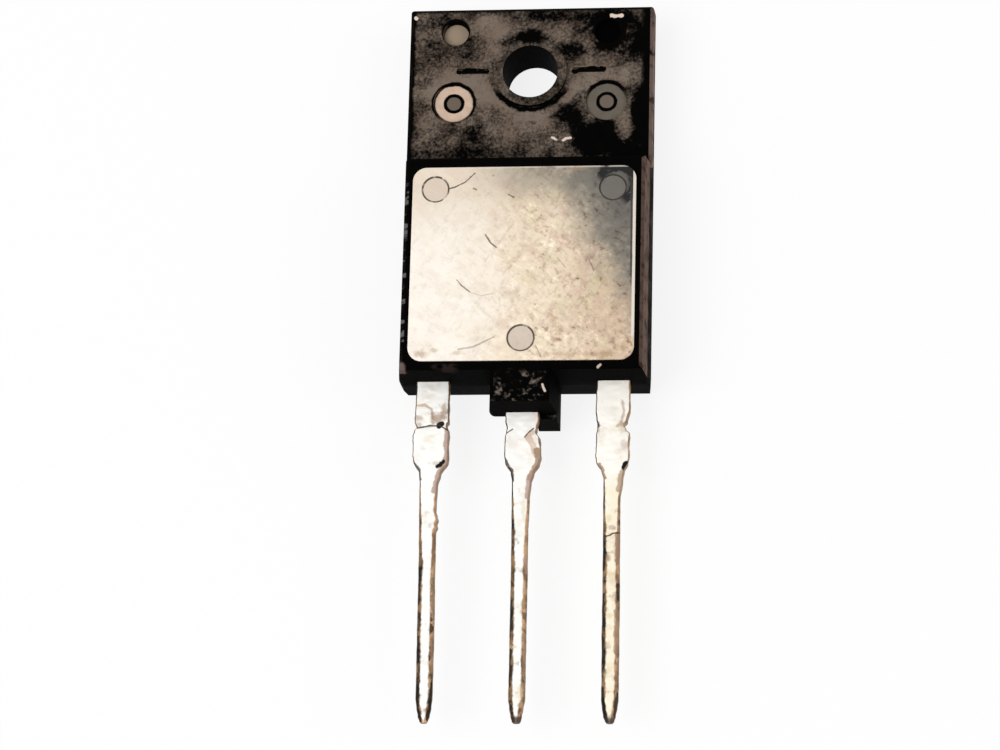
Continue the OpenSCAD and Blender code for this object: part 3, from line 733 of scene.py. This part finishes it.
# Angle from which an edge is shaded as a sharp one
BODY_SHARP_DEG, LEAD_SHARP_DEG = 35, 45

# Left corner of the step: reach along Y, largest X, least Z, and how much a face of it looks up the tab
CORNER_REACH, CORNER_X, CORNER_Z, CORNER_FACING = 0.25, -6.5, 3.3, 0.6

# Fine edges: distance from the step and the tab's end, least Z, half width, and reach below the pad
FINE_FROM_STEP, FINE_FROM_END, FINE_Z, FINE_X, FINE_REACH = 0.3, 0.6, 2.6, 6.6, 0.06

# Faces of the pad: least height above the front face, and margin round the pad
PAD_RISE, PAD_MARGIN = 0.012, 0.1

# Room of the moulding's inner bed behind the pad and in the tab
BED_FLOOR = 0.3
BED_BODY_X, BED_BODY_TOP, BED_BODY_LOW, BED_BODY_HIGH = 6.9, 5.0, LEAD_END + 0.3, -6.4
BED_TAB_X, BED_TAB_TOP, BED_TAB_LOW, BED_TAB_HIGH = 6.6, 2.4, -6.6, 3.9
BED_HOLE_R = 1.9


def solid_from(name, mesh, material_list):
    piece = bpy.data.objects.new(name, mesh)
    bpy.context.scene.collection.objects.link(piece)
    for material in material_list:
        mesh.materials.append(material)
    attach(piece, "root")
    return piece


def is_bed(p):
    """True for a point of the moulding's inner bed, which isn't seen."""
    x, y, z = p
    in_body = BED_BODY_LOW < y < BED_BODY_HIGH and BED_FLOOR < z < BED_BODY_TOP and abs(x) < BED_BODY_X
    in_tab = BED_TAB_LOW <= y < BED_TAB_HIGH and BED_FLOOR < z < BED_TAB_TOP and abs(x) < BED_TAB_X
    return in_body or (in_tab and math.hypot(x, y) > BED_HOLE_R)


def cad_copy(node):
    """A CAD node's solid with flat faces joined up."""
    bm = bmesh.new()
    bm.from_mesh(nodes[node].data)
    bmesh.ops.remove_doubles(bm, verts=bm.verts, dist=SAME_POINT)
    bmesh.ops.dissolve_limit(bm, angle_limit=math.radians(FLAT_DEG), verts=bm.verts, edges=bm.edges)
    return bm


def bevel(bm, wanted, width, segments):
    """Rounds the convex edges whose middle, and two face normals, are wanted."""
    edges = []
    limit = math.radians(ROUNDED_FROM_DEG)
    for e in bm.edges:
        if len(e.link_faces) == 2 and e.is_convex and e.calc_face_angle(0.0) > limit:
            middle = (e.verts[0].co + e.verts[1].co) / 2 / MM
            if not is_bed(middle) and wanted(middle, [f.normal for f in e.link_faces]):
                edges.append(e)
    bmesh.ops.bevel(
        bm, geom=edges, offset=width * MM, offset_type="OFFSET", segments=segments, profile=0.5,
        affect="EDGES", clamp_overlap=True,
    )


def shade(bm, sharp_deg):
    """Smooth shading, apart from edges that are sharp."""
    for face in bm.faces:
        face.smooth = True
    for edge in bm.edges:
        edge.smooth = len(edge.link_faces) == 2 and edge.calc_face_angle(0.0) < math.radians(sharp_deg)


def is_step_corner(m, normals):
    """The upright corner of the step at the left, which is worn round."""
    at_step = STEP_Y - CORNER_REACH < m.y < STEP_Y + CORNER_REACH and m.z > CORNER_Z
    return at_step and m.x < CORNER_X and max(n.y for n in normals) > CORNER_FACING


def is_fine(m, normals):
    """Small edges: the pad's rim, the marks, the lip and the hole."""
    between = STEP_Y + FINE_FROM_STEP < m.y < TAB_END - FINE_FROM_END
    return m.z > PAD_Z - FINE_REACH or (between and m.z > FINE_Z and abs(m.x) < FINE_X)


def is_coarse(m, normals):
    """The other edges of the body."""
    return not is_fine(m, normals) and not is_step_corner(m, normals)


def body_piece():
    """The moulding with its edges rounded; the pad's faces have a finish of their own."""
    bm = cad_copy("moulded_body")
    bevel(bm, is_step_corner, *STEP_CORNER_ROUND)
    bevel(bm, is_fine, *FINE_ROUND)
    bevel(bm, is_coarse, *COARSE_ROUND)
    shade(bm, BODY_SHARP_DEG)
    mesh = bpy.data.meshes.new("body_moulding")
    for face in bm.faces:
        c = face.calc_center_median() / MM
        on_pad = c.z > FRONT_Z + PAD_RISE and PAD_LOW - PAD_MARGIN < c.y < PAD_HIGH + PAD_MARGIN
        face.material_index = 1 if on_pad else 0
    bm.to_mesh(mesh)
    bm.free()
    piece = solid_from("body_moulding", mesh, [epoxy_material(), pad_material()])
    even = piece.modifiers.new("even_shading", "WEIGHTED_NORMAL")
    even.keep_sharp = True
    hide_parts("moulded_body")


# Worn outlines of the leads: place along Y, then the left and right edge from the lead's middle line
OUTLINES = {
    "base_lead": (
        (-19.4, -1.02, 1.0), (-21.4, -1.04, 1.0), (-22.3, -1.04, 1.02), (-22.6, -0.95, 0.90),
        (-22.85, -1.06, 1.0), (-23.2, -1.14, 1.04), (-24.4, -1.12, 1.03), (-24.75, -1.06, 1.0),
        (-25.5, -0.68, 0.58), (-26.2, -0.63, 0.42), (-27.8, -0.62, 0.38), (-28.05, -0.62, 0.47),
        (-28.35, -0.61, 0.53), (-28.6, -0.61, 0.46), (-28.8, -0.61, 0.50), (-29.05, -0.60, 0.41),
        (-31.0, -0.57, 0.43), (-35.0, -0.54, 0.49), (-39.1, -0.50, 0.51), (-39.7, -0.44, 0.45),
        (-40.2, -0.34, 0.36), (-40.5, -0.24, 0.26), (-40.6, -0.16, 0.18),
    ),
    "collector_header": (
        (-19.4, -1.02, 1.0), (-22.2, -1.05, 0.96), (-22.75, -0.94, 0.86), (-22.95, -0.98, 0.80),
        (-23.3, -1.06, 1.02), (-23.9, -1.05, 1.06), (-24.5, -1.04, 1.14), (-24.85, -1.0, 1.06),
        (-25.5, -0.64, 0.72), (-26.0, -0.56, 0.58), (-27.0, -0.55, 0.50), (-29.0, -0.54, 0.46),
        (-33.0, -0.51, 0.49), (-39.2, -0.50, 0.50), (-39.7, -0.43, 0.42), (-40.2, -0.34, 0.34),
        (-40.5, -0.26, 0.28), (-40.6, -0.18, 0.2),
    ),
    "emitter_lead": (
        (-19.4, -1.05, 0.97), (-21.6, -1.06, 0.95), (-22.3, -1.02, 0.80), (-22.55, -0.98, 0.62),
        (-22.85, -1.0, 0.78), (-23.1, -1.04, 0.97), (-23.6, -1.04, 0.93), (-24.5, -1.06, 0.95),
        (-24.85, -1.0, 0.9), (-25.35, -0.70, 0.66), (-25.9, -0.56, 0.60), (-27.0, -0.55, 0.45),
        (-30.0, -0.54, 0.47), (-34.0, -0.53, 0.52), (-39.2, -0.50, 0.53), (-39.7, -0.44, 0.46),
        (-40.2, -0.36, 0.38), (-40.5, -0.25, 0.30), (-40.6, -0.16, 0.2),
    ),
}

# Rings of points along a lead: where they begin, their distance, and the steps round each ring
SWEEP_FROM, SWEEP_STEP = -19.3, 0.05
CORNER_STEPS, FLAT_STEPS, SIDE_STEPS = 6, 10, 3

# Solder coat: end of the shoulder in Y, thickness there, unevenness on the shank and more on the shoulder
SHOULDER_LOW, SHOULDER_HIGH = -25.6, -24.8
COAT, LUMP_SHANK, LUMP_SHOULDER = 0.02, 0.020, 0.035

# Lumps per mm of the coarse and of the fine unevenness, and height of the fine one as a share
COARSE_LUMPS, FINE_LUMPS, FINE_SHARE = 1.3, 4.0, 0.4

# Edge radius at the shoulder and its growth on the shank, with the distances from the hole where it grows
EDGE_R, EDGE_GROWTH, GROWS_FROM, GROWS_TO = 0.12, 0.21, 26.5, 31.0

# Tip: distance from the hole where it starts to thin, loss in front and behind, and least flat of a side
THINS_FROM, TIP_THINNER, LEAST_FLAT = 39.4, 0.12, 0.01

# Crack across the base lead: a point of it, its slope, depth and half width
CRACK_X, CRACK_Y, CRACK_SLOPE, CRACK_DEPTH, CRACK_HALF_WIDTH = -5.6, -22.57, 0.12, 0.07, 0.07

# Bulges by the nicks of two leads: place in Y, half length, height and lumps per mm
BASE_BULGE, COLLECTOR_BULGE = (-22.0, 0.35, 0.05, 2.2), (-23.6, 0.6, 0.10, 2.5)

# The collector's bulge along X: where it sets in and where it is full
BULGE_FROM, BULGE_FULL = 0.2, 0.7


def follow(points, y, column):
    """Value of a column at y, along points sorted from the body to the tip."""
    if y >= points[0][0]:
        return points[0][column]
    for a, b in zip(points, points[1:]):
        if y >= b[0]:
            t = (a[0] - y) / (a[0] - b[0])
            t = t * t * (3 - 2 * t)
            return a[column] + (b[column] - a[column]) * t
    return points[-1][column]


def ramp(value, low, high):
    """0 at low and 1 at high."""
    return max(0.0, min(1.0, (value - low) / (high - low)))


def hump(value, middle, half_width):
    """1 in the middle, falling off to both sides."""
    return math.exp(-(((value - middle) / half_width) ** 2))


def section(left, right, low, high, corner):
    """Points round a rounded rectangle in XZ."""
    centres = (
        (right - corner, high - corner, 0), (left + corner, high - corner, 90),
        (left + corner, low + corner, 180), (right - corner, low + corner, 270),
    )
    ring = []
    for i, (cx, cz, start) in enumerate(centres):
        for k in range(CORNER_STEPS + 1):
            a = math.radians(start + 90 * k / CORNER_STEPS)
            ring.append((cx + corner * math.cos(a), cz + corner * math.sin(a)))
        here = ring[-1]
        next_x, next_z, next_start = centres[(i + 1) % 4]
        a = math.radians(next_start)
        there = (next_x + corner * math.cos(a), next_z + corner * math.sin(a))
        steps = FLAT_STEPS if i % 2 == 0 else SIDE_STEPS
        for k in range(1, steps):
            t = k / steps
            ring.append((here[0] + (there[0] - here[0]) * t, here[1] + (there[1] - here[1]) * t))
    return ring


def lump(node, p):
    """Height of the solder coat's unevenness at a place on a lead."""
    rough = LUMP_SHANK + LUMP_SHOULDER * ramp(p.y, SHOULDER_LOW, SHOULDER_HIGH)
    height = rough * noise.noise(p * COARSE_LUMPS) + FINE_SHARE * rough * noise.noise(p * FINE_LUMPS)
    if node == "base_lead":
        crack_y = CRACK_Y + CRACK_SLOPE * (p.x - CRACK_X)
        height -= CRACK_DEPTH * hump(p.y, crack_y, CRACK_HALF_WIDTH)
        y, half_length, bulge, lumps = BASE_BULGE
        height += bulge * hump(p.y, y, half_length) * noise.noise(p * lumps)
    if node == "collector_header":
        y, half_length, bulge, lumps = COLLECTOR_BULGE
        bulge *= hump(p.y, y, half_length) * ramp(p.x, BULGE_FROM, BULGE_FULL)
        height += bulge * (0.5 + noise.noise(p * lumps))
    return height


def worn_ring(bm, node, y):
    """Points round a lead at y, with the worn outline and the uneven coat."""
    left, right = follow(OUTLINES[node], y, 1), follow(OUTLINES[node], y, 2)
    at_tip = ramp(-y, THINS_FROM, -LEAD_TIP)
    swell = COAT * ramp(y, SHOULDER_LOW, SHOULDER_HIGH) - TIP_THINNER * at_tip * at_tip
    corner = EDGE_R + EDGE_GROWTH * ramp(-y, GROWS_FROM, GROWS_TO)
    half_height = (LEAD_FRONT - LEAD_BACK) / 2 + swell
    corner = min(corner, (right - left) / 2 - LEAST_FLAT, half_height - LEAST_FLAT)
    middle = Vector((LEAD_X[node] + (left + right) / 2, y, (LEAD_BACK + LEAD_FRONT) / 2))
    ring = []
    for dx, z in section(left, right, LEAD_BACK - swell, LEAD_FRONT + swell, corner):
        p = Vector((LEAD_X[node] + dx, y, z))
        ring.append(bm.verts.new((p + (p - middle).normalized() * lump(node, p)) * MM))
    return ring


def lead_piece(node, material_list):
    """The node's inner part as the CAD has it, and outside the body a worn, solder-coated lead."""
    bm = cad_copy(node)
    geometry = bm.verts[:] + bm.edges[:] + bm.faces[:]
    cut = bmesh.ops.bisect_plane(
        bm, geom=geometry, plane_co=(0, SWEEP_FROM * MM, 0), plane_no=(0, -1, 0), clear_outer=True,
        dist=CUT_MARGIN,
    )
    bmesh.ops.holes_fill(bm, edges=[e for e in cut["geom_cut"] if isinstance(e, bmesh.types.BMEdge)])
    for face in bm.faces:
        face.material_index = len(material_list) - 1
    count = int(round((SWEEP_FROM - LEAD_TIP) / SWEEP_STEP))
    places = [SWEEP_FROM + (LEAD_TIP - SWEEP_FROM) * i / count for i in range(count + 1)]
    rings = [worn_ring(bm, node, y) for y in places]
    for a, b in zip(rings, rings[1:]):
        for k in range(len(a)):
            m = (k + 1) % len(a)
            bm.faces.new((a[k], a[m], b[m], b[k]))
    bm.faces.new(rings[0][::-1])
    bm.faces.new(rings[-1])
    bmesh.ops.recalc_face_normals(bm, faces=bm.faces)
    shade(bm, LEAD_SHARP_DEG)
    name = node + "_worn"
    mesh = bpy.data.meshes.new(name)
    bm.to_mesh(mesh)
    bm.free()
    piece = solid_from(name, mesh, material_list)
    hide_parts(node)


def paint(node, material):
    """A material for a CAD node that is shown as it is."""
    for one in nodes[node].material_slots:
        one.material = material


# Floor: size and gap below the part in m, colour, and the share of plain white that the camera sees
FLOOR_SIZE, FLOOR_GAP, FLOOR_COLOUR, PLAIN_WHITE = 4.0, 0.00002, (0.93, 0.93, 0.93), 0.84

# Level of the white world as light and as background
WORLD_LIGHT, WORLD_SEEN = 0.5, 1.0

# Lamps: name, place and size in m, power in W
LAMPS = (
    ("key", (-0.25, -0.14, 0.5), 0.35, 1.75),
    ("fill", (0.45, -0.05, 0.35), 0.3, 0.6),
)

# Point in the middle of the part that the lamps face, in mm
TARGET = (0, -18, 0)

# Camera that was fitted to the photo: place in mm, turn in degrees, lens and sensor in mm, clip range in m
CAMERA_PLACE, CAMERA_TURN = (22.681, -87.047, 217.703), (17.5598, 5.9714, 1.4165)
CAMERA_LENS, CAMERA_SENSOR = 135.79, 36
CLIP_START, CLIP_END = 0.01, 10


def seen_rays(tree):
    """1 for rays that show the background, directly or in metal and glass."""
    path = tree.nodes.new("ShaderNodeLightPath")
    seen = path.outputs["Is Camera Ray"]
    for kind in ("Is Glossy Ray", "Is Transmission Ray"):
        both = tree.nodes.new("ShaderNodeMath")
        both.operation = "MAXIMUM"
        tree.links.new(seen, both.inputs[0])
        tree.links.new(path.outputs[kind], both.inputs[1])
        seen = both.outputs[0]
    return seen


def floor_material():
    """White floor: most of what the camera sees is plain white, so that the shadow stays faint."""
    g = Graph("floor")
    g.finish(FLOOR_COLOUR, 0.9, specular=0.1)
    white = g.add("ShaderNodeEmission")
    both = g.add("ShaderNodeMixShader")
    g.put(both.inputs[0], g.times(seen_rays(g.tree), PLAIN_WHITE))
    g.put(both.inputs[1], g.shader.outputs[0])
    g.put(both.inputs[2], white.outputs[0])
    g.tree.links.new(both.outputs[0], g.out.inputs["Surface"])
    return g.material


def white_world():
    """A white background that lights the part less than it shows."""
    world = bpy.data.worlds.new("studio")
    world.use_nodes = True
    tree = world.node_tree
    ground = tree.nodes["Background"]
    ground.inputs["Color"].default_value = (1, 1, 1, 1)
    level = tree.nodes.new("ShaderNodeMapRange")
    level.inputs["To Min"].default_value = WORLD_LIGHT
    level.inputs["To Max"].default_value = WORLD_SEEN
    tree.links.new(seen_rays(tree), level.inputs["Value"])
    tree.links.new(level.outputs[0], ground.inputs["Strength"])
    return world


def studio():
    """White floor, soft light and the camera of the photo."""
    scene = bpy.context.scene
    target = Vector(TARGET) * MM
    bpy.ops.mesh.primitive_plane_add(size=FLOOR_SIZE, location=(target.x, target.y, -FLOOR_GAP))
    floor = bpy.context.object
    floor.name = "floor"
    floor.data.materials.append(floor_material())
    scene.world = white_world()

    for name, place, size, watts in LAMPS:
        lamp = bpy.data.lights.new(name, "AREA")
        lamp.size = size
        lamp.energy = watts
        holder = bpy.data.objects.new(name, lamp)
        holder.location = place
        holder.rotation_euler = (target - Vector(place)).to_track_quat("-Z", "Y").to_euler()
        scene.collection.objects.link(holder)

    camera = bpy.data.objects.new("camera", bpy.data.cameras.new("camera"))
    camera.data.sensor_width = CAMERA_SENSOR
    camera.data.lens = CAMERA_LENS
    camera.location = Vector(CAMERA_PLACE) * MM
    camera.rotation_euler = [math.radians(a) for a in CAMERA_TURN]
    camera.data.clip_start = CLIP_START
    camera.data.clip_end = CLIP_END
    scene.collection.objects.link(camera)
    scene.camera = camera
    scene.view_settings.view_transform = "Standard"


body_piece()
tin = tin_material()
copper = plain_material("header", (0.58, 0.49, 0.40), roughness=0.4, metallic=0.8)
lead_piece("base_lead", [tin])
lead_piece("emitter_lead", [tin])
lead_piece("collector_header", [tin, copper])
paint("silicon_die", plain_material("silicon", (0.06, 0.065, 0.08), roughness=0.15, metallic=0.3))
paint("die_solder", plain_material("solder", (0.45, 0.45, 0.46), roughness=0.4, metallic=1.0))
wire = plain_material("wire", (0.8, 0.8, 0.8), roughness=0.3, metallic=1.0)
for node in ("base_wire", "emitter_wire_inner", "emitter_wire_outer"):
    paint(node, wire)
studio()
